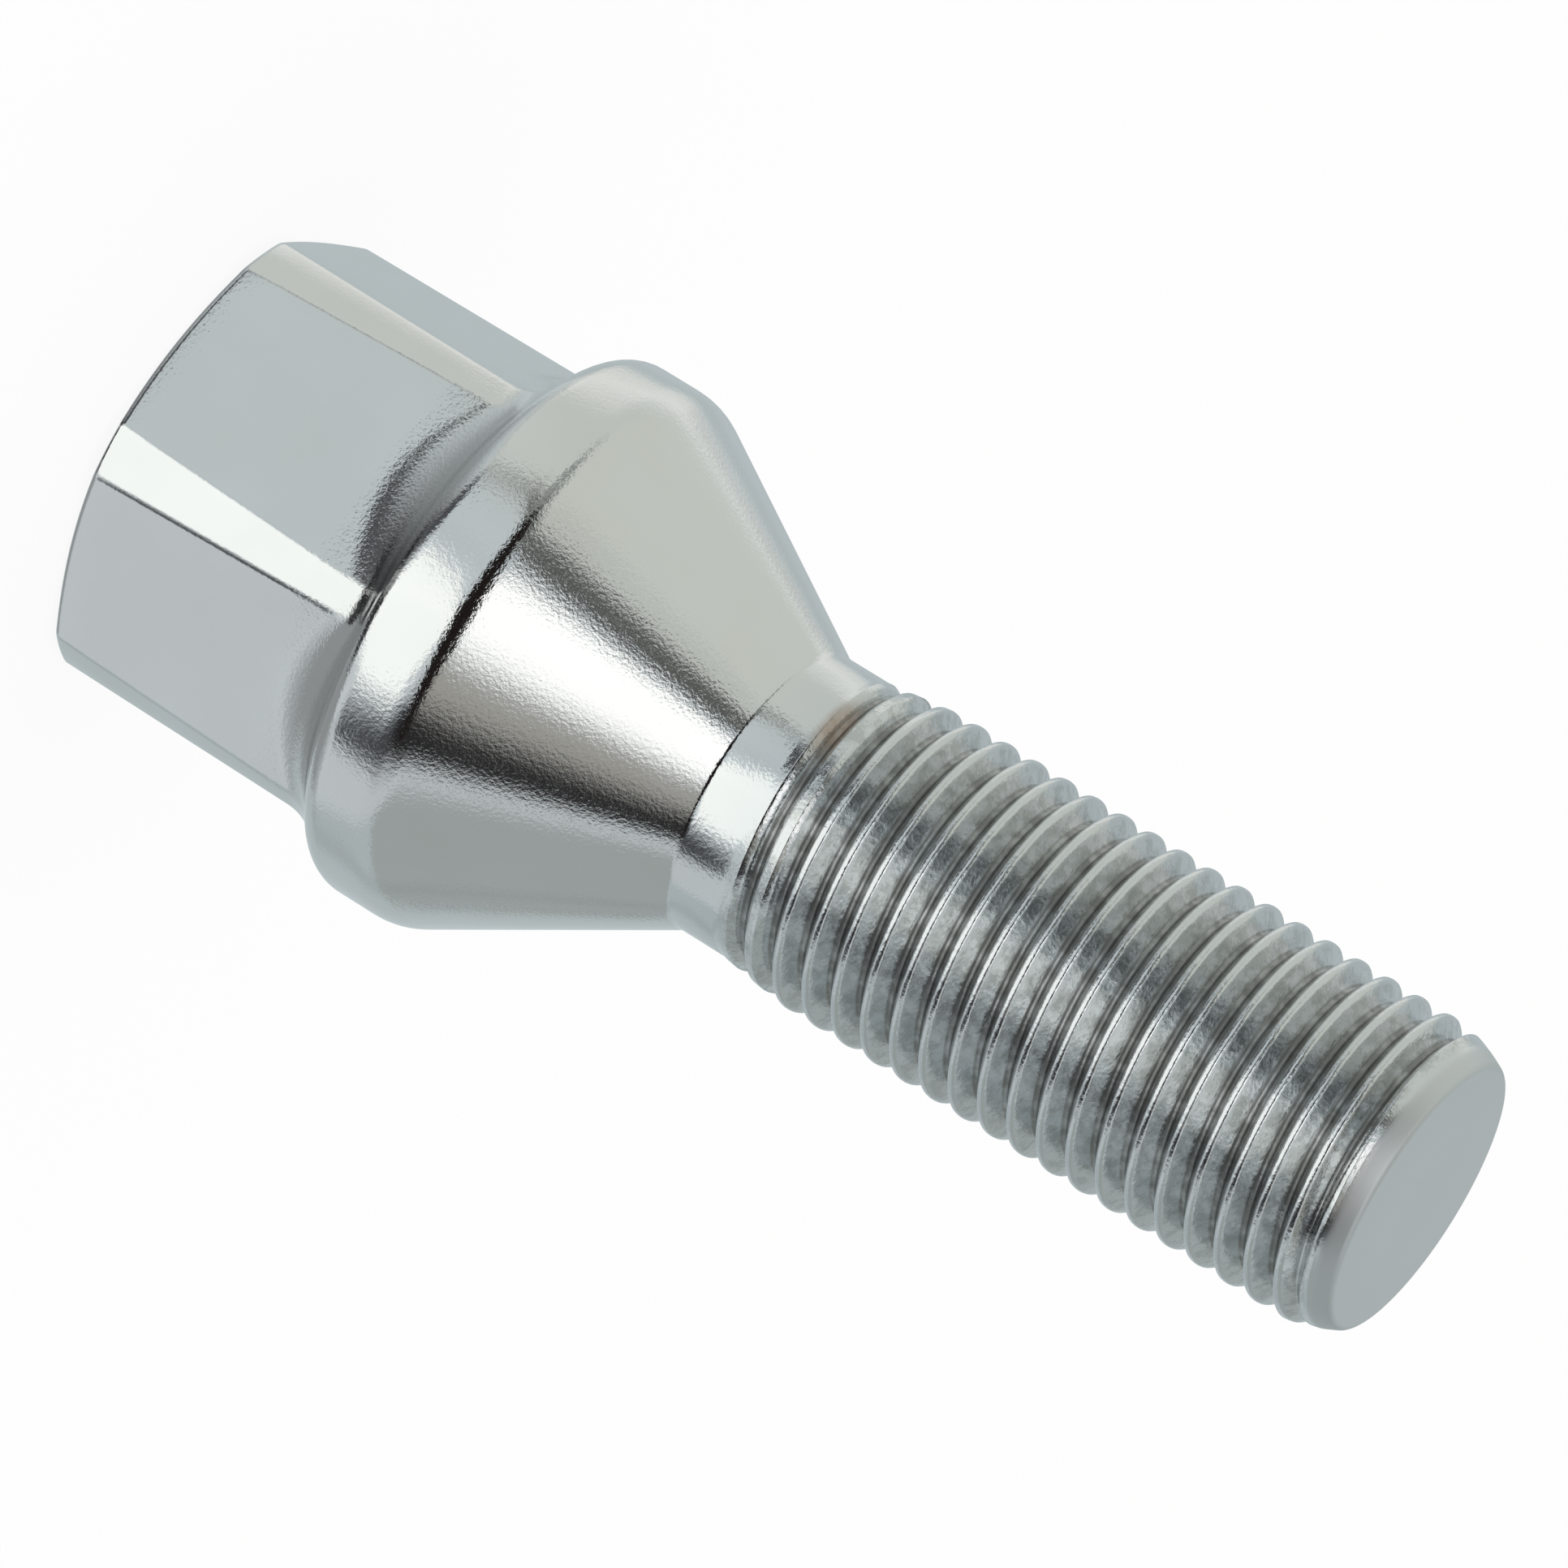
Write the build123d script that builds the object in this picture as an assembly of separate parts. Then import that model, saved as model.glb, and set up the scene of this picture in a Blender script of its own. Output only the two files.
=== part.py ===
from build123d import *
import math
import os

# Wheel bolt with a conical seat, cold formed from one steel blank.
# Millimetres. It stands on the flat end of its head: the origin is the middle of that end,
# and +Z runs along the bolt's axis to the tip of the shank.

# Hexagon of the head. Its corners stop short of a point, in conical bands that are widest at the free end
across_flats = 17.0
end_corner_diameter = 18.54
collar_corner_diameter = 18.98
corner_edge_radius = 0.8
hexagon_height = 9.4

# Free end of the head: a flat face, a shallow chamfer round it and a soft rim
end_face_diameter = 16.0
end_chamfer_angle = 18.0
end_rim_radius = 0.3

# Flare from the hexagon out to the collar, the collar's wall and the conical seat
flare_radius = 3.3
flare_sink = 0.05
shoulder_angle = 60.0
collar_rim_radius = 1.1
collar_diameter = 21.7
collar_wall = 2.8
seat_edge_radius = 2.5
seat_angle = 60.0

# Shank below the seat: a plain neck that widens to the thread's outside diameter, and a chamfered tip
shank_length = 28.0
neck_diameter = 11.15
neck_length = 1.9
neck_taper_length = 3.0
thread_diameter = 11.95
tip_chamfer_depth = 0.7
tip_chamfer_length = 1.3

# Radii and slopes that follow from the sizes above
end_face_radius = end_face_diameter / 2
end_corner_radius = end_corner_diameter / 2
collar_corner_radius = collar_corner_diameter / 2
collar_radius = collar_diameter / 2
neck_radius = neck_diameter / 2
thread_radius = thread_diameter / 2
flare_foot_radius = across_flats / 2 - flare_sink
shoulder_width = collar_radius - flare_foot_radius
shoulder_slope = shoulder_width / math.sin(math.radians(shoulder_angle))
shoulder_tangent = math.tan(math.radians(shoulder_angle / 2))
seat_slope = math.tan(math.radians(seat_angle / 2))
seat_edge_tangent = math.tan(math.radians(seat_angle / 4))

# Stations along the axis, from the head's end to the tip. The round body starts inside the hexagon.
chamfer_top = (end_corner_radius - end_face_radius) * math.tan(math.radians(end_chamfer_angle))
core_start = hexagon_height / 2
shoulder_foot = hexagon_height + flare_radius * shoulder_tangent
collar_start = shoulder_foot + shoulder_width / math.tan(math.radians(shoulder_angle))
seat_start = collar_start + collar_wall
seat_end = seat_start + (collar_radius - neck_radius) / seat_slope
taper_start = seat_end + neck_length
taper_end = taper_start + neck_taper_length
chamfer_start = seat_end + shank_length - tip_chamfer_length
tip = seat_end + shank_length


def hexagon_head():
    """Hexagon from the free end into the collar, trimmed by a cone at its corners and one at its end."""
    prism = extrude(RegularPolygon(across_flats / 2, 6, major_radius=False), collar_start)
    envelope = Polyline(
        (0, 0),
        (end_face_radius, 0),
        (end_corner_radius, chamfer_top),
        (collar_corner_radius, collar_start),
        (0, collar_start),
        close=True,
    )
    head = prism & revolve(make_face(Plane.XZ * envelope), Axis.Z)
    long_edges = head.edges().filter_by_position(Axis.Z, 2 * chamfer_top, 0.9 * collar_start)
    head = fillet(long_edges, corner_edge_radius)
    rim_edges = head.edges().filter_by_position(Axis.Z, 0.01 * chamfer_top, 1.1 * chamfer_top)
    return fillet(rim_edges, end_rim_radius)


def round_body():
    """Everything that is round about the axis: flare, collar, conical seat and shank."""
    outline = Polyline(
        (0, core_start),
        (flare_foot_radius, core_start),
        (flare_foot_radius, shoulder_foot),
        (collar_radius, collar_start),
        (collar_radius, seat_start),
        (neck_radius, seat_end),
        (neck_radius, taper_start),
        (thread_radius, taper_end),
        (thread_radius, chamfer_start),
        (thread_radius - tip_chamfer_depth, tip),
        (0, tip),
        close=True,
    )
    # The most of the shoulder or of the collar's wall that each rounding may take up
    flare_room = 0.7 * shoulder_slope
    rim_room = 0.25 * shoulder_slope
    seat_edge_room = 0.5 * collar_wall
    roundings = [
        (flare_foot_radius, shoulder_foot, min(flare_radius, flare_room / shoulder_tangent)),
        (collar_radius, collar_start, min(collar_rim_radius, rim_room / shoulder_tangent)),
        (collar_radius, seat_start, min(seat_edge_radius, seat_edge_room / seat_edge_tangent)),
    ]
    section = make_face(Plane.XZ * outline)
    for radius, height, rounding in roundings:
        corner = section.vertices().sort_by_distance((radius, 0, height))[0]
        section = fillet(corner, rounding)
    return revolve(section, Axis.Z)


bolt = hexagon_head() + round_body()
bolt.label = "wheel_bolt"
os.makedirs("parts", exist_ok=True)
export_step(bolt, "parts/wheel_bolt.step")
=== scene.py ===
import math

import bmesh
import bpy
from bpy.props import FloatProperty, FloatVectorProperty, PointerProperty
from mathutils import Matrix, Vector


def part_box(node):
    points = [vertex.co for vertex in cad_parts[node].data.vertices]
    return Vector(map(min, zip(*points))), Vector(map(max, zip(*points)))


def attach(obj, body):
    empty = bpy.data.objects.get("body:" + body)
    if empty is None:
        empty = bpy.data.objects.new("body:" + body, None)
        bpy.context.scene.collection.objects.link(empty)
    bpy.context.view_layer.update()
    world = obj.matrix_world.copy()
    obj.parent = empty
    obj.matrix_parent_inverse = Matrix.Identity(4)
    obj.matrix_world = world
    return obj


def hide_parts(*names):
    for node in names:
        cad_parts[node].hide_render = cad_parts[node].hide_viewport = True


bl_info = {
    "name": "Plated Wheel Bolt",
    "version": (1, 0, 0),
    "blender": (4, 5, 0),
    "location": "View3D > Sidebar > Wheel Bolt",
    "description": "Forges a wheel bolt with a conical seat, rolls its thread and sets it on a white stage",
    "category": "Object",
}

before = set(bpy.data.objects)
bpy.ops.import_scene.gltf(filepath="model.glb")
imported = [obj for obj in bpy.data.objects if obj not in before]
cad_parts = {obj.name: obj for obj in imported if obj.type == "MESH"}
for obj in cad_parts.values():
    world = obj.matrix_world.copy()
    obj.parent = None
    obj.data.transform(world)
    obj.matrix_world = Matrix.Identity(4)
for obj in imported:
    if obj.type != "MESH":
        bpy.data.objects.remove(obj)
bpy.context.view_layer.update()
lowest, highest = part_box("wheel_bolt")
tip_height = highest[2]
collar_width = min(highest[k] - lowest[k] for k in (0, 1))

MM = 0.001

# Kinds of node that come up often
MATH = "ShaderNodeMath"
VECTOR_MATH = "ShaderNodeVectorMath"
RANGE = "ShaderNodeMapRange"
MIX = "ShaderNodeMix"

# The Mix node's sockets go by number: two values to mix, or two colours and the colour that comes out
VALUE_A, VALUE_B = 2, 3
COLOUR_A, COLOUR_B, COLOUR_OUT = 6, 7, 2


def linear(hex_code):
    """Linear RGB from an sRGB hex colour such as #C8CACA."""
    parts = [int(hex_code[i:i + 2], 16) / 255 for i in (1, 3, 5)]
    return [p / 12.92 if p <= 0.04045 else ((p + 0.055) / 1.055) ** 2.4 for p in parts]


def length(name, description, millimetres):
    """A length that a user may change, kept in metres."""
    default = millimetres * MM
    return FloatProperty(name=name, description=description, default=default, unit="LENGTH", precision=5)


def angle(name, description, degrees):
    """An angle that a user may change, kept in radians."""
    return FloatProperty(name=name, description=description, default=math.radians(degrees), subtype="ANGLE")


def colour(name, description, hex_code):
    """A colour that a user may change, given as an sRGB hex value."""
    return FloatVectorProperty(
        name=name, description=description, default=linear(hex_code), subtype="COLOR", size=3, min=0, max=1
    )


class HeadSettings(bpy.types.PropertyGroup):
    """Sizes of the forged head, from its free end to the end of the conical seat."""

    across_flats: length("Across flats", "Width of the hexagon between two flats", 17.0)
    end_corner: length("Corners at the end", "Width across the corner bands at the free end", 18.54)
    collar_corner: length("Corners at the collar", "Width across the corner bands at the collar", 18.98)
    corner_edge: length("Corner edge", "Rounding between a flat and a corner band", 0.8)
    hexagon_height: length(
        "Hexagon height", "Height at which the flare starts, in the middle of a flat", 9.33
    )
    end_face: length("End face", "Diameter of the flat end", 16.0)
    end_chamfer: angle("End chamfer", "Slope of the chamfer round the free end", 18.0)
    end_rim: length("End rim", "Rounding between the chamfer and the flats", 0.3)
    flare: length("Flare", "Radius of the hollow flare into the collar, in the middle of a flat", 3.3)
    flare_tightening: FloatProperty(
        name="Flare tightening", description="Loss of the flare's radius towards the corners",
        default=1.34, min=0,
    )
    shoulder: angle("Shoulder", "Slope of the shoulder from the axis", 55.0)
    collar_rim: length("Collar rim", "Rounding between shoulder and collar", 1.1)
    collar: FloatProperty(
        name="Collar", description="Diameter of the collar", default=collar_width, unit="LENGTH", precision=5
    )
    collar_wall: length("Collar wall", "Height of the collar's upright wall", 2.8)
    seat_edge: length("Seat edge", "Rounding between the collar and the seat", 2.5)
    seat: angle("Seat", "Whole angle of the conical seat", 60.0)


class ShankSettings(bpy.types.PropertyGroup):
    """Sizes of the neck, the rolled thread and the tip."""

    neck: length("Neck", "Diameter of the plain neck", 11.15)
    neck_fillet: length("Neck fillet", "Hollow rounding at the foot of the seat", 0.5)
    neck_length: length("Neck length", "Length of the plain neck", 1.9)
    run_in: length("Run-in", "Length over which the crests rise to full height", 3.0)
    run_out: length("Run-out", "Length over which the groove sinks to full depth", 0.6)
    phase: length("Thread phase", "How far the first root lies below the neck's end, on the +X side", 0.1)
    thread: length("Thread", "Diameter over the thread's crests", 11.95)
    pitch: length("Pitch", "Distance from crest to crest", 1.25)
    crest_flat: length("Crest flat", "Width of a crest before its edges are rounded", 0.2)
    root_flat: length("Root flat", "Width of a root before its edges are rounded", 0.2)
    flank: angle("Flank angle", "Whole angle between two flanks", 60.0)
    point_depth: length("Point depth", "How far the rounded point goes in", 0.7)
    point_length: length("Point length", "How far the rounded point goes down", 2.2)
    point_curve: FloatProperty(
        name="Point curve", description="1 for a straight chamfer, more for a rounder point",
        default=1.6, min=1,
    )
    tip_rim: length("Tip rim", "Rounding round the tip's end face", 0.32)
    tip: FloatProperty(
        name="Tip height", description="Height of the tip above the head's end", default=tip_height,
        unit="LENGTH", precision=5,
    )


class FinishSettings(bpy.types.PropertyGroup):
    """Colours and grain of the plating."""

    plate: colour("Plate", "Bright plating", "#DADBDC")
    plate_shade: colour("Plate, thin", "Plating where it is thinner", "#D2D2D0")
    shank: colour("Plate, shank", "Duller plating on the shank", "#D0D2D3")
    film: colour("Film", "Dull film in patches on the thread's flanks", "#8A8D86")
    # Dark colour for the thread's roots: partly grime, partly painted shade where the roots lie in shade
    grime_and_shade: colour("Grime", "Dark grime that stays in the thread's roots", "#858684")
    rust: colour("Rust", "Rust that comes through where the thread starts", "#A39184")
    grain: length("Grain", "Width of the grain in the plated surface", 0.14)
    waves: length("Waves", "Width of the shallow waves left by rolling the thread", 0.7)
    roughness: FloatProperty(
        name="Roughness", description="Roughness of the plating", default=0.075,
        min=0, max=1, subtype="FACTOR",
    )


class StudioSettings(bpy.types.PropertyGroup):
    """Where the camera stands and how bright the stage is."""

    azimuth: angle("Camera azimuth", "Direction of the camera round the bolt, from +X", -71.528)
    elevation: angle("Camera elevation", "Height of the camera over the level", 18.6)
    roll: angle("Camera roll", "Turn of the camera about its line of sight", 121.725)
    distance: length("Camera distance", "Distance from the camera to the point it looks at", 494.755)
    aim_height: length("Aim height", "Height on the axis that the camera is aimed by", 24.136)
    aim_along: length("Aim along", "Shift of the aim along the bolt in the picture", 0.932)
    aim_across: length("Aim across", "Shift of the aim across the bolt in the picture", 0.646)
    lens: FloatProperty(name="Lens", description="Focal length in millimetres", default=324.5, min=1)
    light: FloatProperty(name="Light", description="Brightness of the tent", default=1.4, min=0)
    floor: colour("Floor", "White floor", "#F6F6F4")


class WheelBoltSettings(bpy.types.PropertyGroup):
    """Everything about the bolt and its stage."""

    head: PointerProperty(type=HeadSettings)
    shank: PointerProperty(type=ShankSettings)
    finish: PointerProperty(type=FinishSettings)
    studio: PointerProperty(type=StudioSettings)


def add(tree, kind, inputs=(), stops=(), **options):
    """Adds a node with its options, its colour stops and its inputs, each a value or a socket to link."""
    node = tree.nodes.new(kind)
    for name, value in options.items():
        setattr(node, name, value)
    for index, (position, value) in enumerate(stops):
        ramp = node.color_ramp.elements
        stop = ramp[index] if index < 2 else ramp.new(position)
        stop.position = position
        stop.color = (*value, 1)
    for socket, value in dict(inputs).items():
        if isinstance(value, bpy.types.NodeSocket):
            tree.links.new(value, node.inputs[socket])
        else:
            node.inputs[socket].default_value = value
    return node


# Outlines

# Degrees from one side of the hexagon to the next. Half a side has so many steps over half its flat, over its
# soft edge and over half a corner band, and these give the columns of points round the whole bolt.
SIDE_ANGLE = 60
FLAT_STEPS = 6
EDGE_STEPS = 6
BAND_STEPS = 4
HALF_SIDE_STEPS = FLAT_STEPS + EDGE_STEPS + BAND_STEPS
COLUMNS = 12 * HALF_SIDE_STEPS

# Rows of points up a side and round the flare, and the length of the longest row from the collar on
SIDE_ROWS = 8
FLARE_ROWS = 14
LONGEST_ROW = 1.0 * MM

# Passes that find the flare's foot, and the rounding round the head's end face
FOOT_PASSES = 4
END_FACE_EDGE = 0.6 * MM

# How far below the tip the groove has faded out, and the thread gives way to the rim
GROOVE_STOP = 0.8 * MM
THREAD_STOP = 0.5 * MM


def rounded(corners, step=math.radians(12)):
    """Points (radius, height) of an outline whose corners (radius, height, rounding) become arcs."""
    points = [Vector(corners[0][:2])]
    for before, corner, after in zip(corners, corners[1:], corners[2:]):
        here = Vector(corner[:2])
        back = (Vector(before[:2]) - here).normalized()
        ahead = (Vector(after[:2]) - here).normalized()
        turn = math.pi - back.angle(ahead)
        rounding = corner[2]
        reach = rounding * math.tan(turn / 2)
        centre = here + (back + ahead).normalized() * rounding / math.cos(turn / 2)
        start = here + back * reach - centre
        side = 1 if start.x * ahead.y - start.y * ahead.x > 0 else -1
        # A turn of a whole number of steps gets no extra point from rounding errors
        count = max(1, math.ceil(turn / step - 0.001))
        for k in range(count + 1):
            points.append(centre + Matrix.Rotation(side * turn * k / count, 2) @ start)
    points.append(Vector(corners[-1][:2]))
    return points


class Stations:
    """Heights and radii that follow from the sizes of the head and the shank."""

    def __init__(self, head, shank):
        self.flat = head.across_flats / 2
        self.end_face = head.end_face / 2
        self.chamfer = math.tan(head.end_chamfer)
        self.chamfer_top = (head.end_corner / 2 - self.end_face) * self.chamfer
        self.collar = head.collar / 2
        self.shoulder_foot = head.hexagon_height + head.flare * math.tan(head.shoulder / 2)
        self.collar_start = self.shoulder_foot + (self.collar - self.flat) / math.tan(head.shoulder)
        self.seat_start = self.collar_start + head.collar_wall
        self.neck = shank.neck / 2
        self.seat_end = self.seat_start + (self.collar - self.neck) / math.tan(head.seat / 2)
        self.thread_start = self.seat_end + shank.neck_length
        self.crest = shank.thread / 2
        flanks = shank.pitch - shank.crest_flat - shank.root_flat
        self.root = self.crest - flanks / (2 * math.tan(shank.flank / 2))
        self.point_start = shank.tip - shank.point_length
        self.thread_end = shank.tip - THREAD_STOP
        self.groove_end = shank.tip - GROOVE_STOP
        share = (self.thread_end - self.point_start) / shank.point_length
        self.tip_outline = rounded([
            (self.crest - shank.point_depth * share ** shank.point_curve, self.thread_end, 0),
            (self.crest - shank.point_depth, shank.tip, shank.tip_rim),
            (0, shank.tip, 0),
        ], step=math.radians(16))


def polar(angle_here, radius, height):
    """Point at an angle round the axis."""
    return Vector((radius * math.cos(angle_here), radius * math.sin(angle_here), height))


def hexagon_point(column, height, head, at):
    """Angle and radius of a column of points on the hexagon's side, at a height."""
    side, place = divmod(column, 2 * HALF_SIDE_STEPS)
    step = place - HALF_SIDE_STEPS
    steps_out = abs(step)
    share = (height - at.chamfer_top) / (at.collar_start - at.chamfer_top)
    band = (head.end_corner + (head.collar_corner - head.end_corner) * share) / 2
    inner = at.flat - head.corner_edge
    half_flat = math.sqrt((band - head.corner_edge) ** 2 - inner ** 2)
    edge_turn = math.atan2(half_flat, inner)
    if steps_out <= FLAT_STEPS:
        across = half_flat * steps_out / FLAT_STEPS
        offset, radius = math.atan2(across, at.flat), math.hypot(across, at.flat)
    elif steps_out <= FLAT_STEPS + EDGE_STEPS:
        turn = edge_turn * (steps_out - FLAT_STEPS) / EDGE_STEPS
        outward = inner + head.corner_edge * math.cos(turn)
        across = half_flat + head.corner_edge * math.sin(turn)
        offset, radius = math.atan2(across, outward), math.hypot(outward, across)
    else:
        along_band = (steps_out - FLAT_STEPS - EDGE_STEPS) / BAND_STEPS
        offset = edge_turn + (math.radians(SIDE_ANGLE / 2) - edge_turn) * along_band
        radius = band
    return math.radians(SIDE_ANGLE * (side + 0.5)) + math.copysign(offset, step), radius


def hexagon_column(column, head, at):
    """Points (angle, radius, height) up one column, from the end face to the end of the flare."""
    angle_here, wall = hexagon_point(column, at.chamfer_top, head, at)
    end = rounded([
        (at.end_face / 2, 0, 0),
        (at.end_face, 0, END_FACE_EDGE),
        (wall, (wall - at.end_face) * at.chamfer, head.end_rim),
        (wall, head.hexagon_height, 0),
    ])
    points = [(angle_here, p.x, p.y) for p in end[:-1]]

    # Up the side, which runs into the shoulder through a hollow flare that is tightest at the corners.
    # The flare's foot and the width of the side there depend on each other.
    rim_top = points[-1][2]
    foot = head.hexagon_height
    for _ in range(FOOT_PASSES):
        angle_here, wall = hexagon_point(column, foot, head, at)
        flare = head.flare - head.flare_tightening * (wall - at.flat)
        corner = at.collar_start - (at.collar - wall) / math.tan(head.shoulder)
        foot = corner - flare * math.tan(head.shoulder / 2)
    for k in range(1, SIDE_ROWS + 1):
        height = rim_top + (foot - rim_top) * k / SIDE_ROWS
        points.append((*hexagon_point(column, height, head, at), height))
    for k in range(1, FLARE_ROWS + 1):
        turn = head.shoulder * k / FLARE_ROWS
        points.append((angle_here, wall + flare * (1 - math.cos(turn)), foot + flare * math.sin(turn)))
    return points


def round_outline(head, shank, at):
    """Outline (radius, height) from the collar's rim to the end of the neck."""
    points = rounded([
        (at.flat, at.shoulder_foot, 0),
        (at.collar, at.collar_start, head.collar_rim),
        (at.collar, at.seat_start, head.seat_edge),
        (at.neck, at.seat_end, shank.neck_fillet),
        (at.neck, at.thread_start, 0),
    ], step=math.radians(8))
    # The collar and the long conical seat get rows of their own
    filled = points[1:2]
    for here, ahead in zip(points[1:], points[2:]):
        count = max(1, math.ceil((ahead - here).length / LONGEST_ROW))
        filled += [here.lerp(ahead, k / count) for k in range(1, count + 1)]
    return filled


def head_columns(head, shank, at):
    """Columns of points up the head and the neck. They slide to even steps by the end of the neck."""
    outline = round_outline(head, shank, at)
    columns = []
    for k in range(COLUMNS):
        points = hexagon_column(k, head, at)
        leaving = points[-1][0]
        even = 2 * math.pi * k / COLUMNS
        for n, point in enumerate(outline, 1):
            share = n / len(outline)
            points.append((leaving + (even - leaving) * share, point.x, point.y))
        columns.append([polar(*point) for point in points])
    return columns


def tip_columns(at):
    """Columns of points over the tip's rim and half the way in across its end face."""
    rim = at.tip_outline[:-1]
    rim.append(Vector((rim[-1].x / 2, rim[-1].y)))
    return [[polar(2 * math.pi * k / COLUMNS, p.x, p.y) for p in rim] for k in range(COLUMNS)]


def spin_surface(mesh, columns, start_pole, end_pole):
    """Joins columns of points into a surface, and closes an end with a middle point where one is given."""
    rows = len(columns[0])
    grid = [[mesh.verts.new(point) for point in column] for column in columns]
    for left, right in zip(grid, grid[1:] + grid[:1]):
        for k in range(rows - 1):
            mesh.faces.new((left[k], right[k], right[k + 1], left[k + 1]))
    for pole, row in ((start_pole, 0), (end_pole, -1)):
        if pole is not None:
            middle = mesh.verts.new(pole)
            for left, right in zip(grid, grid[1:] + grid[:1]):
                mesh.faces.new((middle, right[row], left[row]))


# Thread

# Roundings of a root and a crest, and the most that they turn from one point to the next
ROOT_ROUNDING = 0.12 * MM
CREST_ROUNDING = 0.13 * MM
ROUNDING_STEP = math.radians(30.1)

# A run of the outline that is longer than this is a flank, and gets rows at these shares of its length
FLANK_LENGTH = 0.4 * MM
FLANK_ROWS = (0.1, 0.9)

# Turns of the helix beyond the thread's length, whose points are pressed flat against its two ends
SPARE_TURNS = 3

# Share of a pitch over which the groove fades out at the tip, how softly the crests are trimmed to the blank,
# and how near two points of the helix have to be to become one
GROOVE_FADE = 0.64
TRIM_SOFTNESS = 0.05 * MM
HELIX_WELD = 0.001 * MM


def thread_tree():
    """Geometry nodes that roll a groove's outline along a helix and fit it between neck and tip."""
    tree = bpy.data.node_groups.new("rolled_thread", "GeometryNodeTree")
    sockets = tree.interface
    sockets.new_socket("Outline", in_out="INPUT", socket_type="NodeSocketGeometry")
    for name in ("Columns", "Turns"):
        sockets.new_socket(name, in_out="INPUT", socket_type="NodeSocketInt")
    sizes = (
        "Pitch", "Phase", "Start", "Run-in", "Run-out", "Groove End", "End", "Neck", "Crest",
        "Point Start", "Point Length", "Point Depth", "Point Curve",
    )
    for name in sizes:
        sockets.new_socket(name, in_out="INPUT", socket_type="NodeSocketFloat")
    sockets.new_socket("Material", in_out="INPUT", socket_type="NodeSocketMaterial")
    sockets.new_socket("Thread", in_out="OUTPUT", socket_type="NodeSocketGeometry")
    given = add(tree, "NodeGroupInput").outputs

    # A grid with the helix along X and one pitch of the outline along Y
    outline_size = add(tree, "GeometryNodeAttributeDomainSize", {
        "Geometry": given["Outline"],
    }).outputs["Point Count"]
    steps = add(tree, MATH, {0: given["Columns"], 1: given["Turns"]}, operation="MULTIPLY").outputs[0]
    along = add(tree, MATH, {0: steps, 1: 1.0}, operation="ADD").outputs[0]
    grid = add(tree, "GeometryNodeMeshGrid", {
        "Vertices X": along, "Vertices Y": outline_size,
    }).outputs["Mesh"]
    index = add(tree, "GeometryNodeInputIndex").outputs[0]
    row = add(tree, MATH, {0: index, 1: outline_size}, operation="MODULO").outputs[0]
    whole = add(tree, MATH, {0: index, 1: row}, operation="SUBTRACT").outputs[0]
    column = add(tree, MATH, {0: whole, 1: outline_size}, operation="DIVIDE").outputs[0]
    turns = add(tree, MATH, {0: column, 1: given["Columns"]}, operation="DIVIDE").outputs[0]

    # Each point takes its radius and its place in the pitch from the outline. The helix starts a turn low.
    position = add(tree, "GeometryNodeInputPosition").outputs[0]
    sampled = add(tree, "GeometryNodeSampleIndex", {
        "Geometry": given["Outline"], "Value": position, "Index": row,
    }, data_type="FLOAT_VECTOR").outputs["Value"]
    outline = add(tree, "ShaderNodeSeparateXYZ", {0: sampled}).outputs
    climbed = add(tree, MATH, {0: turns, 1: 1.0}, operation="SUBTRACT").outputs[0]
    first_root = add(tree, MATH, {0: given["Start"], 1: given["Phase"]}, operation="SUBTRACT").outputs[0]
    lead = add(tree, MATH, {
        0: climbed, 1: given["Pitch"], 2: first_root,
    }, operation="MULTIPLY_ADD").outputs[0]
    free_height = add(tree, MATH, {0: lead, 1: outline["Z"]}, operation="ADD").outputs[0]
    not_below = add(tree, MATH, {0: free_height, 1: given["Start"]}, operation="MAXIMUM").outputs[0]
    height = add(tree, MATH, {0: not_below, 1: given["End"]}, operation="MINIMUM").outputs[0]

    # The blank swells from the neck to the crests and rounds off to a point at the tip
    full_height = add(tree, MATH, {0: given["Start"], 1: given["Run-in"]}, operation="ADD").outputs[0]
    rise = add(tree, RANGE, {
        "Value": height, "From Min": given["Start"], "From Max": full_height,
        "To Min": given["Neck"], "To Max": given["Crest"],
    }).outputs[0]
    past_start = add(tree, MATH, {0: height, 1: given["Point Start"]}, operation="SUBTRACT").outputs[0]
    to_tip = add(tree, MATH, {0: past_start, 1: given["Point Length"]}, operation="DIVIDE").outputs[0]
    not_before = add(tree, MATH, {0: to_tip, 1: 0.0}, operation="MAXIMUM").outputs[0]
    bent = add(tree, MATH, {0: not_before, 1: given["Point Curve"]}, operation="POWER").outputs[0]
    cut = add(tree, MATH, {0: bent, 1: given["Point Depth"]}, operation="MULTIPLY").outputs[0]
    fall = add(tree, MATH, {0: given["Crest"], 1: cut}, operation="SUBTRACT").outputs[0]
    blank = add(tree, MATH, {0: rise, 1: fall}, operation="MINIMUM").outputs[0]

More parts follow.
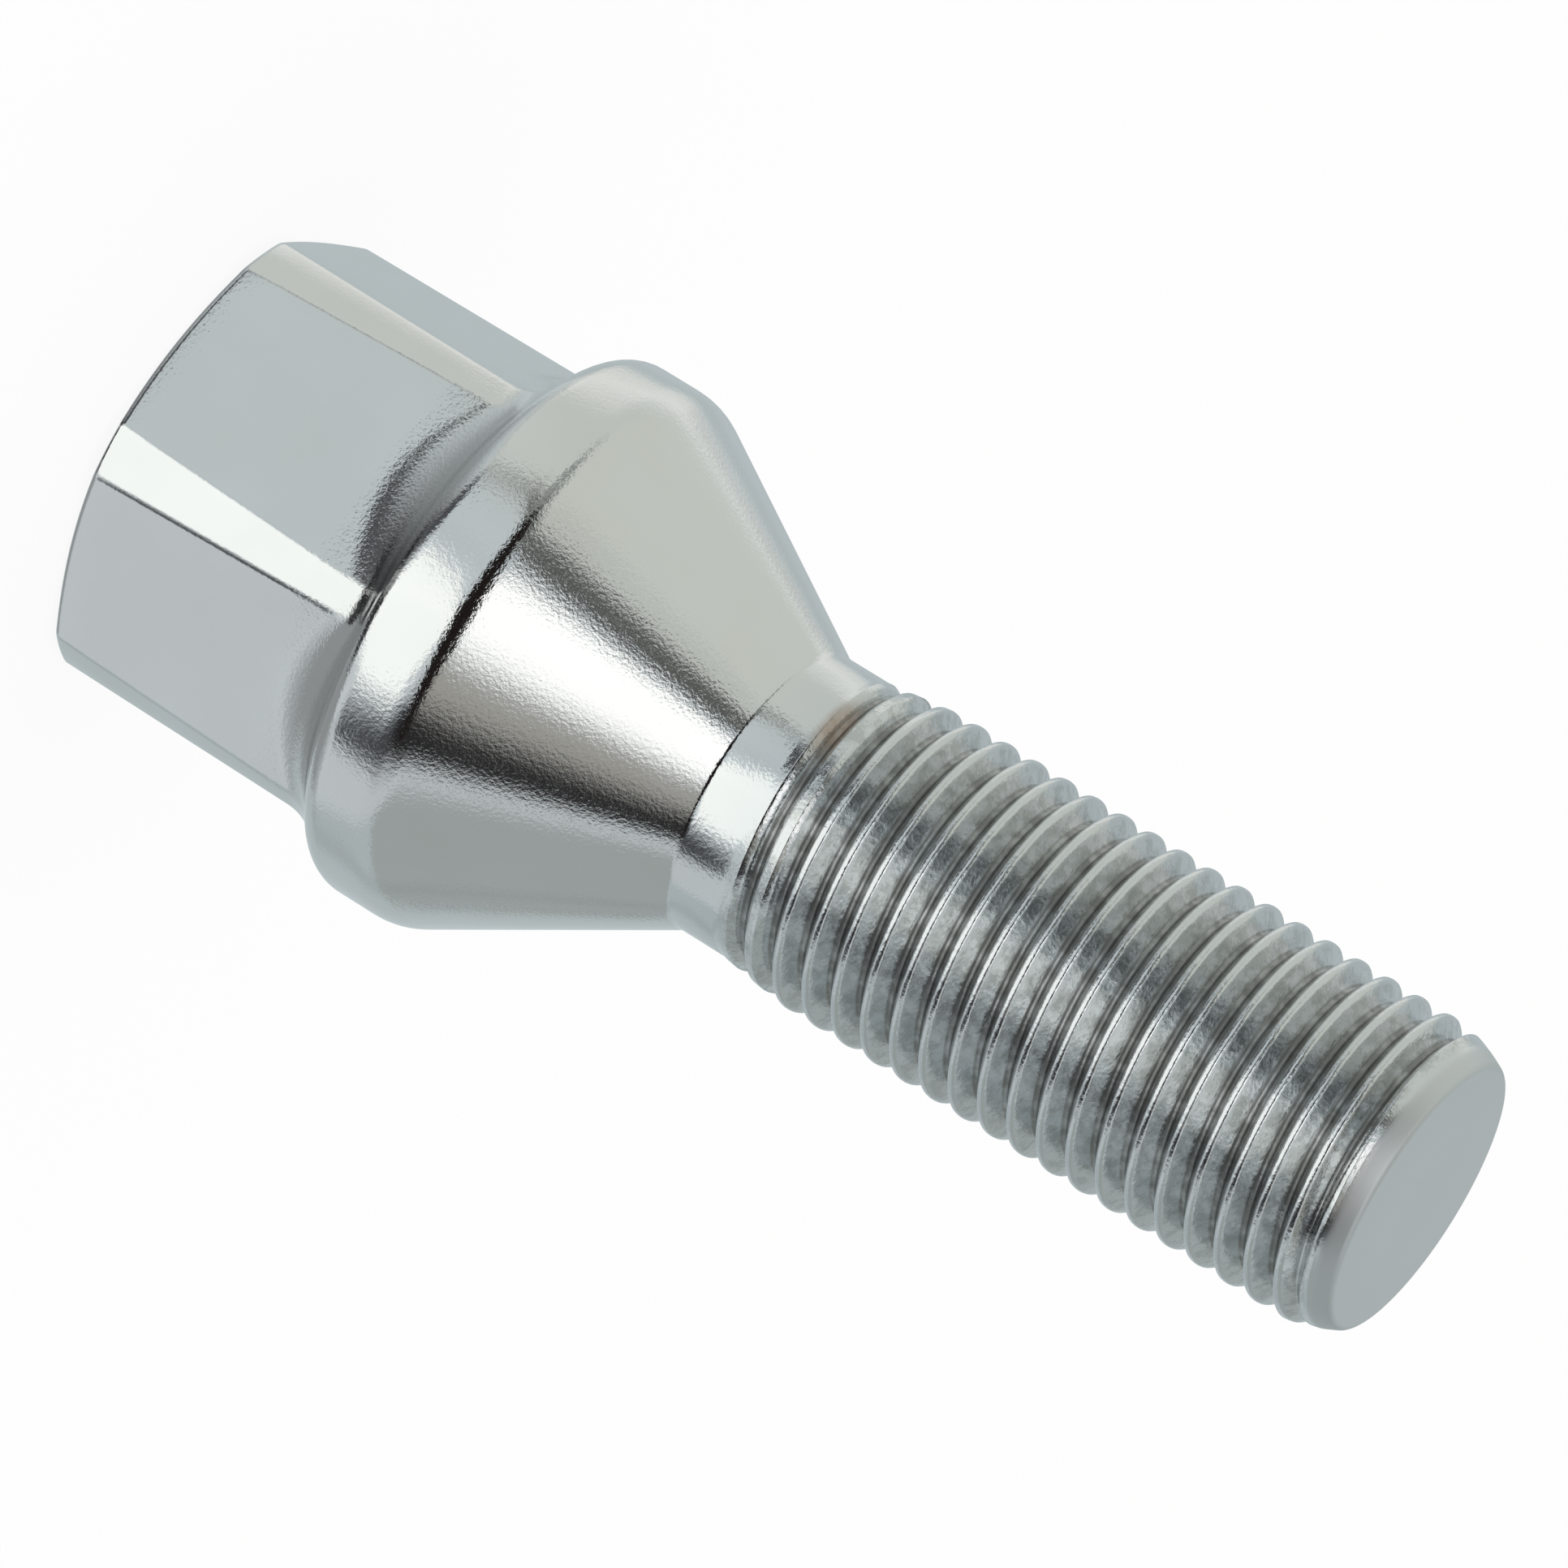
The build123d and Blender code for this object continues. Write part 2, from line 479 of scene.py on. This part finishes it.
    # The groove is rolled into the blank, and its depth fades out at both ends
    full_depth = add(tree, MATH, {0: given["Start"], 1: given["Run-out"]}, operation="ADD").outputs[0]
    last_depth = add(tree, MATH, {
        0: given["Pitch"], 1: -GROOVE_FADE, 2: given["Groove End"],
    }, operation="MULTIPLY_ADD").outputs[0]
    sink = add(tree, RANGE, {
        "Value": height, "From Min": given["Start"], "From Max": full_depth,
    }).outputs[0]
    lift = add(tree, RANGE, {
        "Value": height, "From Min": last_depth, "From Max": given["Groove End"],
        "To Min": 1.0, "To Max": 0.0,
    }, interpolation_type="SMOOTHSTEP").outputs[0]
    depth = add(tree, MATH, {0: sink, 1: lift}, operation="MULTIPLY").outputs[0]
    trimmed = add(tree, MATH, {
        0: outline["X"], 1: blank, 2: TRIM_SOFTNESS,
    }, operation="SMOOTH_MIN").outputs[0]
    radius = add(tree, MIX, {"Factor": depth, VALUE_A: blank, VALUE_B: trimmed}).outputs[0]

    # Wound round the axis, right-handed
    turned = add(tree, MATH, {0: turns, 1: 2 * math.pi}, operation="MULTIPLY").outputs[0]
    cosine = add(tree, MATH, {0: turned}, operation="COSINE").outputs[0]
    sine = add(tree, MATH, {0: turned}, operation="SINE").outputs[0]
    place = add(tree, "ShaderNodeCombineXYZ", {
        "X": add(tree, MATH, {0: cosine, 1: radius}, operation="MULTIPLY").outputs[0],
        "Y": add(tree, MATH, {0: sine, 1: radius}, operation="MULTIPLY").outputs[0],
        "Z": height,
    }).outputs[0]
    wound = add(tree, "GeometryNodeSetPosition", {"Geometry": grid, "Position": place}).outputs[0]
    welded = add(tree, "GeometryNodeMergeByDistance", {"Geometry": wound, "Distance": HELIX_WELD}).outputs[0]
    smooth = add(tree, "GeometryNodeSetShadeSmooth", {"Geometry": welded}).outputs[0]
    real = add(tree, "GeometryNodeRealizeInstances", {"Geometry": smooth}).outputs[0]
    plated = add(tree, "GeometryNodeSetMaterial", {
        "Geometry": real, "Material": given["Material"],
    }).outputs[0]
    add(tree, "NodeGroupOutput", {"Thread": plated})
    return tree


def thread_outline(shank, at):
    """One pitch of the thread's outline as a line of points, from root to root, in the XZ plane."""
    crest_start = (shank.pitch - shank.crest_flat) / 2
    corners = rounded([
        (at.root, 0, 0),
        (at.root, shank.root_flat / 2, ROOT_ROUNDING),
        (at.crest, crest_start, CREST_ROUNDING),
        (at.crest, shank.pitch - crest_start, CREST_ROUNDING),
        (at.root, shank.pitch - shank.root_flat / 2, ROOT_ROUNDING),
        (at.root, shank.pitch, 0),
    ], step=ROUNDING_STEP)
    # Rows close to both ends of a flank keep it flat under smooth shading
    points = corners[:1]
    for here, ahead in zip(corners, corners[1:]):
        if (ahead - here).length > FLANK_LENGTH:
            points += [here.lerp(ahead, share) for share in FLANK_ROWS]
        points.append(ahead)
    mesh = bpy.data.meshes.new("thread_outline")
    mesh.from_pydata([(p.x, 0, p.y) for p in points], [(k, k + 1) for k in range(len(points) - 1)], [])
    return mesh


def rolled_thread(shank, at, material):
    """Mesh of the thread between the neck's end and the tip's rim."""
    form = bpy.data.objects.new("thread_form", thread_outline(shank, at))
    bpy.context.collection.objects.link(form)
    modifier = form.modifiers.new("rolled_thread", "NODES")
    modifier.node_group = thread_tree()
    values = {
        "Columns": COLUMNS,
        "Turns": math.ceil((at.thread_end - at.thread_start) / shank.pitch) + SPARE_TURNS,
        "Pitch": shank.pitch,
        "Phase": shank.phase,
        "Start": at.thread_start,
        "Run-in": shank.run_in,
        "Run-out": shank.run_out,
        "Groove End": at.groove_end,
        "End": at.thread_end,
        "Neck": at.neck,
        "Crest": at.crest,
        "Point Start": at.point_start,
        "Point Length": shank.point_length,
        "Point Depth": shank.point_depth,
        "Point Curve": shank.point_curve,
        "Material": material,
    }
    for socket in modifier.node_group.interface.items_tree:
        if socket.name in values:
            modifier[socket.identifier] = values[socket.name]
    evaluated = form.evaluated_get(bpy.context.evaluated_depsgraph_get())
    mesh = bpy.data.meshes.new_from_object(evaluated)
    form.modifiers.remove(modifier)
    bpy.data.objects.remove(form)
    return mesh


# Finish

# Width of the clouds where the plate is thinner, and the depths of its grain and of the waves on the thread
CLOUD_WIDTH = 4 * MM
GRAIN_DEPTH = 0.015 * MM
WAVE_DEPTH = 0.035 * MM

# How far below the shoulder's foot the grain is strongest, in the hollow of the flare
FLARE_HOLLOW = 0.7 * MM

# Rust stain, on the side that the photograph shows: its angle round the bolt, its height above the thread's
# start, and how many times wider than high it is
STAIN_ANGLE = math.radians(-109)
STAIN_HEIGHT = 0.55 * MM
STAIN_STRETCH = 3.6


def bright_plate(finish, at):
    """Bright zinc plate on cold formed steel, passivated clear.

    The eye gets mirror-like bands with grainy edges, a faint cream cast where the plate is thin, a dull
    film in patches on the thread's flanks, dark grime and painted shade in its roots, a little rust by the
    neck and a matte cut end.
    """
    material = bpy.data.materials.new("bright_zinc_plate_on_steel")
    material.use_nodes = True
    tree = material.node_tree
    tree.nodes.clear()

    # What the finish goes by: the height, the distances from the axis, the flare and the stain, and noise
    place = add(tree, "ShaderNodeTexCoord").outputs["Object"]
    height = add(tree, "ShaderNodeSeparateXYZ", {0: place}).outputs["Z"]
    level = add(tree, VECTOR_MATH, {0: place, 1: (1, 1, 0)}, operation="MULTIPLY").outputs[0]
    radius = add(tree, VECTOR_MATH, {0: level}, operation="LENGTH").outputs["Value"]
    hollow = at.shoulder_foot - FLARE_HOLLOW
    off_flare = add(tree, MATH, {0: height, 1: hollow}, operation="SUBTRACT").outputs[0]
    from_flare = add(tree, MATH, {0: off_flare}, operation="ABSOLUTE").outputs[0]
    stain = polar(STAIN_ANGLE, at.neck, at.thread_start + STAIN_HEIGHT)
    off_stain = add(tree, VECTOR_MATH, {0: place, 1: stain}, operation="SUBTRACT").outputs[0]
    oval = (1, 1, STAIN_STRETCH)
    stretched = add(tree, VECTOR_MATH, {0: off_stain, 1: oval}, operation="MULTIPLY").outputs[0]
    from_stain = add(tree, VECTOR_MATH, {0: stretched}, operation="LENGTH").outputs["Value"]
    noises = ((CLOUD_WIDTH, 3.0, 0.5), (finish.grain, 2.0, 0.6), (finish.waves, 2.0, 0.5))
    cloud, grain, waves = (
        add(tree, "ShaderNodeTexNoise", {
            "Vector": place, "Scale": 1 / width, "Detail": detail, "Roughness": roughness,
        }).outputs["Fac"]
        for width, detail, roughness in noises
    )
    # The film's patches follow the waves, broken up by the grain
    mottled = add(tree, MATH, {0: grain, 1: 0.6, 2: waves}, operation="MULTIPLY_ADD").outputs[0]

    # Amounts: what each goes by, where it begins, where it is full, its values in these places, and its fade
    ranges = {
        # The shank, the thread, and the thread as far as its open end
        "below_seat": (height, at.seat_end - 0.5 * MM, at.thread_start, 0, 1, "LINEAR"),
        "threaded": (height, at.thread_start, at.thread_start + 0.8 * MM, 0, 1, "SMOOTHSTEP"),
        "before_tip": (height, at.groove_end, at.groove_end - 0.3 * MM, 0, 1, "LINEAR"),
        # Grime and painted shade lie deepest in the roots, film is rubbed off the crests, and rust is near
        # the stain's middle. All three are patchy.
        "deep": (radius, at.root + 0.1 * MM, at.root + 0.01 * MM, 0, 1, "SMOOTHSTEP"),
        "off_crest": (radius, at.crest - 0.08 * MM, at.crest - 0.2 * MM, 0, 1, "LINEAR"),
        "near_stain": (from_stain, 2.2 * MM, 0.3 * MM, 0, 0.9, "SMOOTHSTEP"),
        "uneven": (waves, 0.3, 0.6, 0.55, 1, "LINEAR"),
        "patchy": (mottled, 0.72, 0.92, 0, 0.34, "SMOOTHSTEP"),
        # Grain is faintest on the hexagon's pressed sides and strongest where the flare is drawn out.
        # The cut end has none, and is matte.
        "pressed": (height, at.shoulder_foot, at.collar_start, 0.7, 1.35, "LINEAR"),
        "drawn": (from_flare, 1.7 * MM, 0.5 * MM, 0, 1.4, "SMOOTHSTEP"),
        "uncut": (height, at.thread_end + 0.1 * MM, at.groove_end - 0.3 * MM, 0, 1, "LINEAR"),
        "cut": (height, at.groove_end - 0.2 * MM, at.thread_end, 0, 1, "SMOOTHSTEP"),
        "base_roughness": (cloud, 0, 1, finish.roughness * 0.8, finish.roughness * 1.25, "LINEAR"),
    }
    amount = {}
    for name, (value, begins, full, low, high, fade) in ranges.items():
        amount[name] = add(tree, RANGE, {
            "Value": value, "From Min": begins, "From Max": full, "To Min": low, "To Max": high,
        }, interpolation_type=fade).outputs[0]
    products = (
        ("rolled", "threaded", "before_tip"),
        ("rooted", "deep", "rolled"),
        ("grimy_and_shaded", "rooted", "uneven"),
        ("rusty", "near_stain", "uneven"),
        ("on_flank", "off_crest", "rolled"),
        ("filmy", "patchy", "on_flank"),
    )
    for name, one, other in products:
        amount[name] = add(tree, MATH, {0: amount[one], 1: amount[other]}, operation="MULTIPLY").outputs[0]

    # Layers of tint over the plate; the root layer paints shade into the thread's roots as well as grime
    tint = (*finish.plate, 1)
    layers = (
        (cloud, finish.plate_shade), (amount["below_seat"], finish.shank), (amount["filmy"], finish.film),
        (amount["grimy_and_shaded"], finish.grime_and_shade), (amount["rusty"], finish.rust),
    )
    for share, layer in layers:
        tint = add(tree, MIX, {
            "Factor": share, COLOUR_A: tint, COLOUR_B: (*layer, 1),
        }, data_type="RGBA").outputs[COLOUR_OUT]
    rough = amount["base_roughness"]
    for name, extra in (("rolled", 0.07), ("filmy", 0.1), ("grimy_and_shaded", 0.25), ("cut", 0.4)):
        rough = add(tree, MATH, {0: amount[name], 1: extra, 2: rough}, operation="MULTIPLY_ADD").outputs[0]

    # Grain everywhere but on the cut end, with a little more on the thread, and waves on the thread alone
    formed = add(tree, MATH, {0: amount["pressed"], 1: amount["drawn"]}, operation="ADD").outputs[0]
    grainy = add(tree, MATH, {0: amount["rolled"], 1: 0.5, 2: formed}, operation="MULTIPLY_ADD").outputs[0]
    kept = add(tree, MATH, {0: grainy, 1: amount["uncut"]}, operation="MULTIPLY").outputs[0]
    grain_height = add(tree, MATH, {0: grain, 1: kept}, operation="MULTIPLY").outputs[0]
    wave_height = add(tree, MATH, {0: waves, 1: amount["rolled"]}, operation="MULTIPLY").outputs[0]
    fine = add(tree, "ShaderNodeBump", {
        "Height": grain_height, "Strength": 0.5, "Distance": GRAIN_DEPTH,
    }).outputs[0]
    bump = add(tree, "ShaderNodeBump", {
        "Height": wave_height, "Strength": 1.0, "Distance": WAVE_DEPTH, "Normal": fine,
    }).outputs[0]
    shader = add(tree, "ShaderNodeBsdfPrincipled", {
        "Base Color": tint, "Metallic": 1.0, "Roughness": rough, "Normal": bump,
    }).outputs[0]
    add(tree, "ShaderNodeOutputMaterial", {"Surface": shader})
    return material


# Stage

# The camera's sensor in millimetres, the floor's radius in metres, and the share of plain white in its look
SENSOR_WIDTH = 36.0
FLOOR_RADIUS = 4.0
FLOOR_WHITE = 0.9

# The tent's own wall: places from its lower side to its upper side, and tones. A ramp's two ends come first.
TENT_WALL = [
    (0.0, linear("#B8BDBF")), (1.0, linear("#C0C4BF")), (0.08, linear("#C0C6C8")), (0.45, linear("#C2C8CA")),
    (0.6, linear("#C0C7CA")), (0.8, linear("#BBC2C3")), (0.9, linear("#C2C6C1")),
]

# What hangs in the tent, in the order in which it is hung: name, tone, softness of the lower and the upper
# edge, and rows of (turn in degrees, lower edge, upper edge) between which the edges run straight
TENT_BANDS = [
    ("back_wall", linear("#A9B2B4"), 0.1, 0.2, [
        (-180, -1.1, 0.85), (-138, -1.1, 0.85), (-120, -1.1, -1.1), (120, -1.1, -1.1), (140, -1.1, 0.85),
        (180, -1.1, 0.85),
    ]),
    ("pale_back_wall", linear("#DCDEDA"), 0.2, 0.2, [
        (-180, 0.62, 0.86), (-160, 0.6, 0.86), (-130, 0.66, 0.9), (-112, 0.86, 0.86), (158, 0.8, 0.8),
        (180, 0.62, 0.86),
    ]),
    ("warm_upper_wall", linear("#C2C6C0"), 0.16, 0.1, [
        (15, 1.1, 1.1), (25, 0.5, 1.1), (60, 0.5, 1.1), (110, 0.3, 1.1), (140, 0.3, 1.1), (160, 0.6, 1.1),
        (170, 0.85, 1.1), (178, 1.1, 1.1),
    ]),
    ("lower_panel", linear("#9AA09F"), 0.1, 0.16, [
        (50, -1.1, -1.1), (60, -1.1, -0.92), (90, -1.1, -0.72), (130, -1.1, -0.5), (150, -1.1, -0.35),
        (165, -1.1, -0.22), (175, -1.1, -0.22), (180, -1.1, -0.4),
    ]),
    ("olive_card", linear("#8E9088"), 0.15, 0.15, [
        (84, 0.0, 0.0), (92, -0.5, 0.5), (115, -0.5, 0.5), (122, 0.0, 0.0),
    ]),
    ("flare_card", linear("#8A8E8F"), 0.3, 0.5, [
        (-135, 0.1, 0.1), (-120, -0.75, 0.5), (-82, -0.75, 0.5), (-70, -0.2, 0.5), (-60, 0.1, 0.5),
        (-50, 0.2, 0.2),
    ]),
    ("flare_flag", linear("#4A4B4D"), 0.1, 0.2, [
        (-112, 0.1, 0.1), (-105, 0.08, 0.14), (-95, 0.05, 0.2), (-85, 0.05, 0.24), (-75, 0.08, 0.28),
        (-65, 0.12, 0.38), (-55, 0.2, 0.54), (-46, 0.28, 0.64), (-40, 0.34, 0.66), (-34, 0.62, 0.64),
        (-32, 0.64, 0.64),
    ]),
    ("rim_flag", linear("#28282A"), 0.08, 0.12, [
        (-106, -0.05, -0.05), (-97, -0.22, 0.12), (-88, -0.36, 0.12), (-80, -0.4, 0.08), (-74, -0.1, -0.02),
        (-70, -0.05, -0.05),
    ]),
    ("upper_flag", linear("#555654"), 0.06, 0.14, [
        (-36, 0.68, 0.68), (-33, 0.71, 0.74), (-22, 0.725, 0.78), (-10, 0.71, 0.79), (0, 0.66, 0.77),
        (20, 0.52, 0.72), (40, 0.38, 0.56), (55, 0.32, 0.57), (70, 0.35, 0.5), (80, 0.42, 0.42),
    ]),
    ("grey_card", linear("#9A9994"), 0.3, 0.24, [
        (18, -0.45, -0.45), (28, -0.75, -0.28), (40, -0.75, -0.28), (54, -0.7, -0.28), (64, -0.45, -0.45),
    ]),
    ("collar_flag", linear("#404244"), 0.12, 0.2, [
        (-62, -0.85, -0.85), (-50, -0.9, -0.78), (-35, -0.93, -0.75), (-25, -0.94, -0.75),
        (-12, -0.94, -0.7), (-2, -0.93, -0.64), (6, -0.8, -0.8),
    ]),
    ("lower_flag", linear("#272627"), 0.16, 0.26, [
        (-6, -0.8, -0.8), (2, -0.92, -0.62), (35, -0.9, -0.6), (45, -0.85, -0.57), (55, -0.82, -0.58),
        (65, -0.76, -0.58), (75, -0.66, -0.66),
    ]),
    ("softbox", (0.96, 0.99, 0.96), 0.14, 0.12, [
        (-76, -0.2, -0.2), (-67, -0.4, 0.0), (-55, -0.46, 0.04), (-45, -0.54, 0.1), (-35, -0.62, 0.16),
        (-30, -0.66, 0.22), (-22, -0.68, 0.18), (-14, -0.56, 0.1), (-5, -0.4, 0.04), (8, -0.1, -0.1),
    ]),
    ("softbox_over_seat", (1.08, 1.08, 1.06), 0.3, 0.07, [
        (22, 0.0, 0.0), (28, -0.16, 0.22), (36, -0.22, 0.29), (44, -0.22, 0.29), (54, -0.2, 0.28),
        (60, 0.05, 0.05),
    ]),
    ("seat_edge_flag", linear("#868A87"), 0.1, 0.1, [
        (2, 0.72, 0.72), (9, 0.66, 1.1), (20, 0.66, 1.1), (27, 0.72, 0.72),
    ]),
    ("camera_gap", linear("#1C1817"), 0.05, 0.05, [
        (3, -0.05, -0.05), (8, -0.6, 0.5), (12, -0.85, 0.7), (20, -0.88, 0.74), (24, -0.7, 0.55),
        (27, -0.3, 0.25), (29, -0.05, -0.05),
    ]),
]

# An edge may lie as far out as this, which is beyond the tent's sides at -1 and 1
EDGE_LIMIT = 1.2


def studio_axes(studio):
    """Directions in the bolt's frame: towards the camera, along the bolt and across it in the picture."""
    level = Vector((math.cos(studio.azimuth), math.sin(studio.azimuth), 0))
    up = Vector((0, 0, 1))
    back = level * math.cos(studio.elevation) + up * math.sin(studio.elevation)
    along = up * math.cos(studio.elevation) - level * math.sin(studio.elevation)
    return back, along, along.cross(back)


def photo_camera(studio):
    """Camera at the photograph's viewing angle, rolled so that the bolt runs down to the right."""
    back, along, across = studio_axes(studio)
    right = across * math.cos(studio.roll) + along * math.sin(studio.roll)
    upward = back.cross(right)
    aim = Vector((0, 0, studio.aim_height)) + along * studio.aim_along - across * studio.aim_across
    data = bpy.data.cameras.new("photo_camera")
    data.lens = studio.lens
    data.sensor_width = SENSOR_WIDTH
    data.clip_start = 10 * MM
    camera = bpy.data.objects.new("photo_camera", data)
    turn = Matrix((right, upward, back)).transposed().to_4x4()
    camera.matrix_world = Matrix.Translation(aim + back * studio.distance) @ turn
    bpy.context.collection.objects.link(camera)
    bpy.context.scene.camera = camera


def light_tent(studio):
    """World that lights the bolt like a tent: pale walls, long softboxes and dark flags round the camera.

    All of them run along the bolt. A place in the tent is given by its side, from -1 below the bolt in the
    picture to 1 above it, and by its turn: 0 level with the camera, 90 over the tip, 180 behind the bolt.
    """
    world = bpy.data.worlds.new("light_tent")
    bpy.context.scene.world = world
    world.use_nodes = True
    tree = world.node_tree
    tree.nodes.clear()
    back, _, across = studio_axes(studio)
    level = Vector((back.x, back.y, 0)).normalized()
    ray = add(tree, "ShaderNodeTexCoord").outputs["Generated"]
    side = add(tree, VECTOR_MATH, {0: ray, 1: -across}, operation="DOT_PRODUCT").outputs["Value"]
    front = add(tree, VECTOR_MATH, {0: ray, 1: level}, operation="DOT_PRODUCT").outputs["Value"]
    rise = add(tree, "ShaderNodeSeparateXYZ", {0: ray}).outputs["Z"]
    radians = add(tree, MATH, {0: rise, 1: front}, operation="ARCTAN2").outputs[0]
    turn = add(tree, RANGE, {"Value": radians, "From Min": -math.pi, "From Max": math.pi}).outputs[0]
    share = add(tree, RANGE, {"Value": side, "From Min": -1.0, "From Max": 1.0}).outputs[0]
    tent = add(tree, "ShaderNodeValToRGB", {"Fac": share}, TENT_WALL).outputs[0]
    for name, tone, lower_softness, upper_softness, rows in TENT_BANDS:
        # The first and the last row go on to the ends of the turn
        if rows[0][0] > -180:
            rows = [(-180, *rows[0][1:])] + rows
        if rows[-1][0] < 180:
            rows = rows + [(180, *rows[-1][1:])]
        masks = []
        for column, softness, sign in ((1, lower_softness, 1), (2, upper_softness, -1)):
            curve = add(tree, "ShaderNodeFloatCurve", {"Value": turn}, label=name)
            line = curve.mapping.curves[0]
            while len(line.points) < len(rows):
                line.points.new(0.5, 0.5)
            for point, row in zip(line.points, rows):
                point.location = ((row[0] + 180) / 360, (row[column] + EDGE_LIMIT) / (2 * EDGE_LIMIT))
                point.handle_type = "VECTOR"
            curve.mapping.update()
            edge = add(tree, RANGE, {
                "Value": curve.outputs[0], "To Min": -EDGE_LIMIT, "To Max": EDGE_LIMIT,
            }).outputs[0]
            beyond = add(tree, MATH, {0: side, 1: edge}, operation="SUBTRACT").outputs[0]
            masks.append(add(tree, RANGE, {
                "Value": beyond, "From Min": -sign * softness / 2, "From Max": sign * softness / 2,
            }, interpolation_type="SMOOTHSTEP").outputs[0])
        # A band that is closed, with both its edges in one place, leaves nothing
        both = add(tree, MATH, {0: masks[0], 1: masks[1]}, operation="ADD").outputs[0]
        mask = add(tree, MATH, {0: both, 1: 1.0}, operation="SUBTRACT", use_clamp=True).outputs[0]
        tent = add(tree, MIX, {
            "Factor": mask, COLOUR_A: tent, COLOUR_B: (*tone, 1),
        }, data_type="RGBA").outputs[COLOUR_OUT]

    # Camera and diffuse rays meet plain white instead, so the floor and what lies beyond it look white
    surface = add(tree, "ShaderNodeBackground", {"Color": tent, "Strength": studio.light}).outputs[0]
    white = add(tree, "ShaderNodeBackground", {"Color": (1, 1, 1, 1), "Strength": 1.0}).outputs[0]
    path = add(tree, "ShaderNodeLightPath").outputs
    plain = add(tree, MATH, {
        0: path["Is Camera Ray"], 1: path["Is Diffuse Ray"],
    }, operation="MAXIMUM").outputs[0]
    add(tree, "ShaderNodeOutputWorld", {
        "Surface": add(tree, "ShaderNodeMixShader", {0: plain, 1: surface, 2: white}).outputs[0],
    })


def white_floor(studio):
    """White floor that keeps the bolt's shadow and looks white to the camera."""
    material = bpy.data.materials.new("white_paper_floor")
    material.use_nodes = True
    tree = material.node_tree
    tree.nodes.clear()
    paper = add(tree, "ShaderNodeBsdfDiffuse", {"Color": (*studio.floor, 1)}).outputs[0]
    glow = add(tree, "ShaderNodeEmission", {"Color": (1, 1, 1, 1), "Strength": 1.0}).outputs[0]
    path = add(tree, "ShaderNodeLightPath").outputs
    seen = path["Is Camera Ray"]
    for kind in ("Is Glossy Ray", "Is Transmission Ray"):
        seen = add(tree, MATH, {0: seen, 1: path[kind]}, operation="MAXIMUM").outputs[0]
    part = add(tree, MATH, {0: seen, 1: FLOOR_WHITE}, operation="MULTIPLY").outputs[0]
    surface = add(tree, "ShaderNodeMixShader", {0: part, 1: paper, 2: glow}).outputs[0]
    add(tree, "ShaderNodeOutputMaterial", {"Surface": surface})
    mesh = bpy.data.meshes.new("floor")
    shape = bmesh.new()
    bmesh.ops.create_circle(shape, cap_ends=True, segments=96, radius=FLOOR_RADIUS)
    shape.to_mesh(mesh)
    shape.free()
    mesh.materials.append(material)
    floor = bpy.data.objects.new("floor", mesh)
    bpy.context.collection.objects.link(floor)
    floor.visible_glossy = False


# Operators and panel

# Points of the bolt that are nearer than this become one, and shorter edges than this are dissolved
BOLT_WELD = 0.002 * MM
SHORTEST_EDGE = 0.0005 * MM


class WHEELBOLT_OT_bolt(bpy.types.Operator):
    """Forges the head and the neck, rolls the thread and closes the tip, all as one plated piece"""

    bl_idname = "wheel_bolt.make_bolt"
    bl_label = "Make bolt"

    def execute(self, context):
        settings = context.scene.wheel_bolt
        head, shank = settings.head, settings.shank
        at = Stations(head, shank)
        plate = bright_plate(settings.finish, at)
        shape = bmesh.new()
        spin_surface(shape, head_columns(head, shank, at), (0, 0, 0), None)
        shape.from_mesh(rolled_thread(shank, at, plate))
        spin_surface(shape, tip_columns(at), None, (0, 0, shank.tip))

        bmesh.ops.remove_doubles(shape, verts=shape.verts, dist=BOLT_WELD)
        bmesh.ops.dissolve_degenerate(shape, edges=shape.edges, dist=SHORTEST_EDGE)
        bmesh.ops.recalc_face_normals(shape, faces=shape.faces)
        if any(not edge.is_manifold for edge in shape.edges):
            raise RuntimeError("the bolt's surface isn't closed")
        for face in shape.faces:
            face.smooth = True
            face.material_index = 0
        mesh = bpy.data.meshes.new("plated_wheel_bolt")
        shape.to_mesh(mesh)
        shape.free()
        mesh.materials.append(plate)
        bolt = bpy.data.objects.new("plated_wheel_bolt", mesh)
        context.collection.objects.link(bolt)
        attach(bolt, "root")
        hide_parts("wheel_bolt")
        return {"FINISHED"}


class WHEELBOLT_OT_stage(bpy.types.Operator):
    """Sets the floor, the light and the camera"""

    bl_idname = "wheel_bolt.make_stage"
    bl_label = "Make stage"

    def execute(self, context):
        studio = context.scene.wheel_bolt.studio
        white_floor(studio)
        light_tent(studio)
        photo_camera(studio)
        context.scene.view_settings.view_transform = "Standard"
        return {"FINISHED"}


class WHEELBOLT_PT_panel(bpy.types.Panel):
    """Sizes, finish and stage of the wheel bolt"""

    bl_label = "Wheel Bolt"
    bl_space_type = "VIEW_3D"
    bl_region_type = "UI"
    bl_category = "Wheel Bolt"

    def draw(self, context):
        settings = context.scene.wheel_bolt
        for title, group in (
            ("Head", settings.head), ("Shank", settings.shank),
            ("Finish", settings.finish), ("Stage", settings.studio),
        ):
            box = self.layout.box()
            box.label(text=title)
            for name in group.__annotations__:
                box.prop(group, name)
        self.layout.operator("wheel_bolt.make_bolt")
        self.layout.operator("wheel_bolt.make_stage")


classes = (
    HeadSettings, ShankSettings, FinishSettings, StudioSettings, WheelBoltSettings,
    WHEELBOLT_OT_bolt, WHEELBOLT_OT_stage, WHEELBOLT_PT_panel,
)


def register():
    for cls in classes:
        bpy.utils.register_class(cls)
    bpy.types.Scene.wheel_bolt = PointerProperty(type=WheelBoltSettings)


def unregister():
    del bpy.types.Scene.wheel_bolt
    for cls in reversed(classes):
        bpy.utils.unregister_class(cls)


def main():
    register()
    bpy.ops.wheel_bolt.make_bolt()
    bpy.ops.wheel_bolt.make_stage()


if __name__ == "__main__":
    main()
